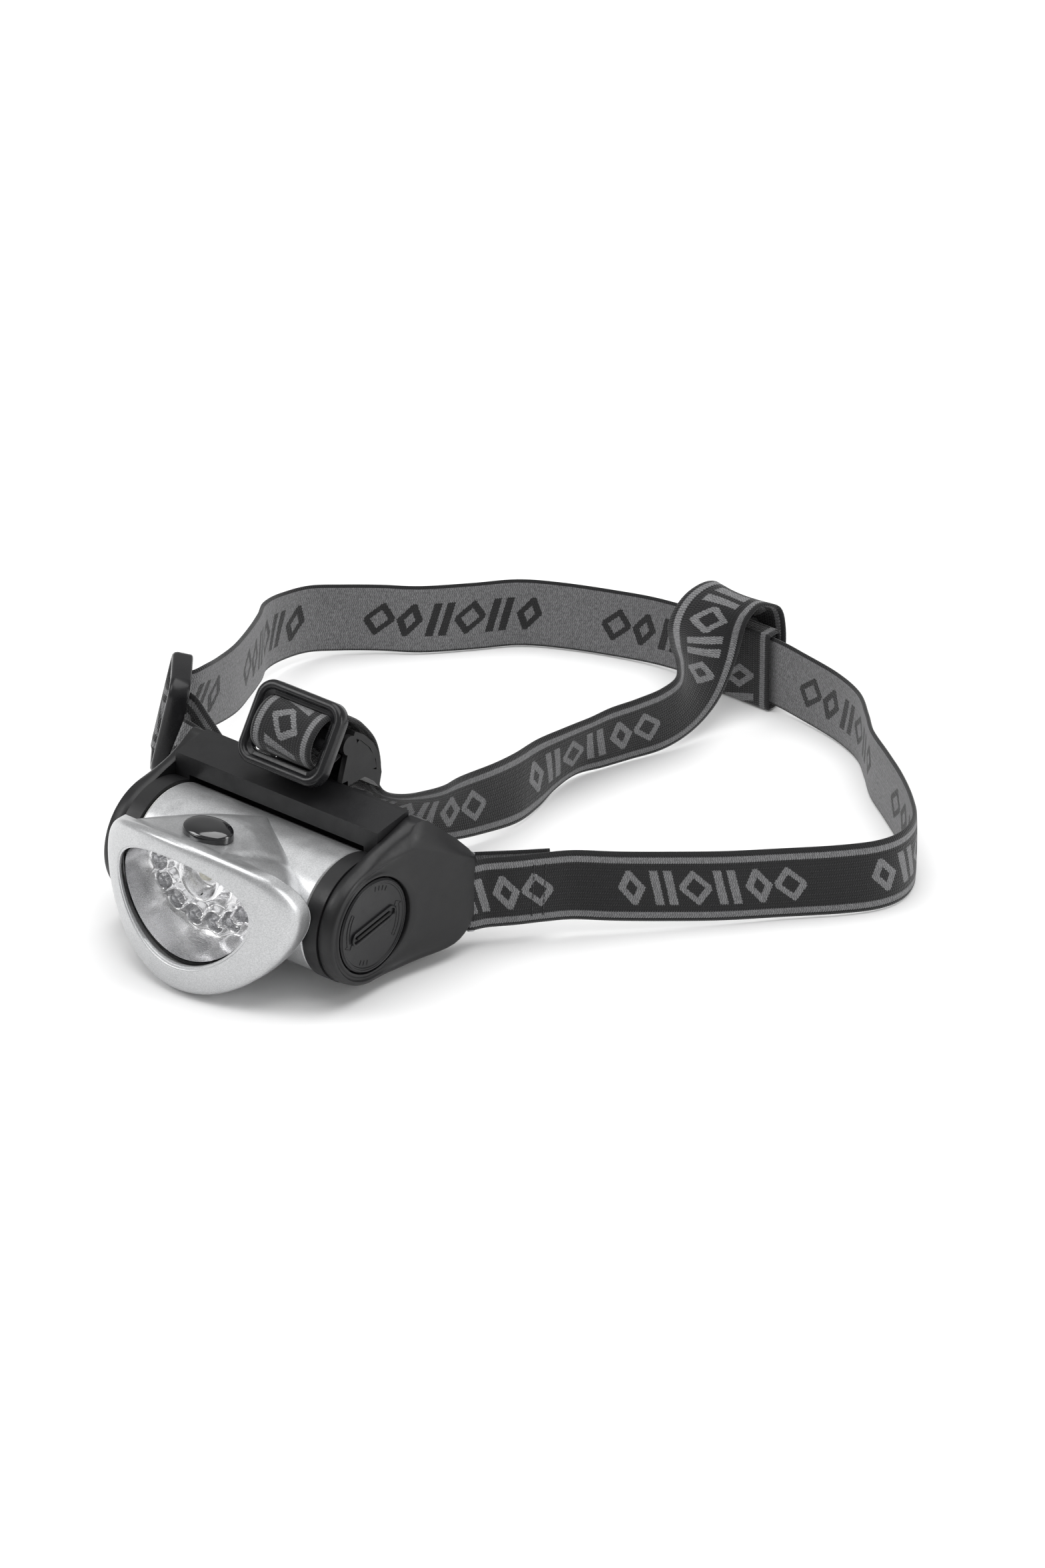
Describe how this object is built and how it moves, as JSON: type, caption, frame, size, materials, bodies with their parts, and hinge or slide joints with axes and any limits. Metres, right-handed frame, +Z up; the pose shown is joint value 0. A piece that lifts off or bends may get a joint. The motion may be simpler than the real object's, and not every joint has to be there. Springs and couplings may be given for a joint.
{
  "type": "headlamp",
  "caption": "Tilting LED headlamp: silver domed lamp head in a black forehead bracket, worn on an elastic head strap and a top strap with slide buckles; battery tube with a coin-slot cap.",
  "frame": {"origin": "middle of the footprint, on the table plane that the lower strap edge and lamp head rest on", "axes": "-Y is the way the lamp looks, +X is the battery cap side, +Z is up; the tilt axis is parallel to X"},
  "size_m": [0.2066, 0.2224, 0.0648],
  "materials": {
    "black_plastic": "satin",
    "silver_plastic": "pearly satin",
    "clear_lens": "clear and glossy",
    "black_rubber": "matte",
    "red_rubber": "matte",
    "foam": "matte foam",
    "webbing": "woven",
    "buckle_plastic": "satin",
    "plated_steel": "plated",
    "mirror_chrome": "mirror",
    "led_clear": "clear epoxy",
    "circuit_board": "lacquered",
    "cell_steel": "satin",
    "contact_brass": "bright",
    "wire_plastic": "smooth",
    "gloss_black": "high gloss",
    "white_nylon": "smooth"
  },
  "bodies": {
    "bracket": {"bracket": "black_plastic", "right_cheek_cover": "black_plastic", "left_cheek_cover": "black_plastic", "strap_pins": "plated_steel", "crown_post": "black_plastic", "cheek_screws": "plated_steel", "click_spring": "plated_steel", "forehead_pad": "foam", "crown_buckle": "buckle_plastic", "side_buckle": "buckle_plastic", "main_strap": "webbing", "top_strap": "webbing", "strap_keeper": "webbing"},
    "lamp_head": {"front_housing": "silver_plastic", "rear_housing": "silver_plastic", "battery_tube": "black_plastic", "left_pivot_cap": "black_plastic", "friction_washers": "white_nylon", "bezel": "silver_plastic", "lens": "clear_lens", "lens_gasket": "black_rubber", "reflector": "mirror_chrome", "main_led": "led_clear", "small_leds": "led_clear", "led_board": "circuit_board", "board_screws": "plated_steel", "switch": "black_plastic", "battery_carrier": "black_plastic", "aaa_cells": "cell_steel", "contact_spring": "contact_brass", "lead_wires": "wire_plastic"},
    "button": {"power_button": "gloss_black"},
    "cap": {"battery_cap": "black_plastic", "cap_gasket": "red_rubber", "cap_contact": "contact_brass"}
  },
  "joints": [
    {"name": "head_tilt", "type": "hinge", "parent": "bracket", "child": "lamp_head", "pos_m": [-0.0073, -0.0782, 0.0196], "axis": [1, 0, 0], "range_deg": [0, 60]},
    {"name": "button_press", "type": "slide", "parent": "lamp_head", "child": "button", "axis": [0, 0, -1], "range_m": [0, 0.0008], "stiffness_N_per_m": 800},
    {"name": "cap_turn", "type": "hinge", "parent": "lamp_head", "child": "cap", "pos_m": [0.0297, -0.0782, 0.0196], "axis": [1, 0, 0], "range_deg": [0, 90]}
  ]
}
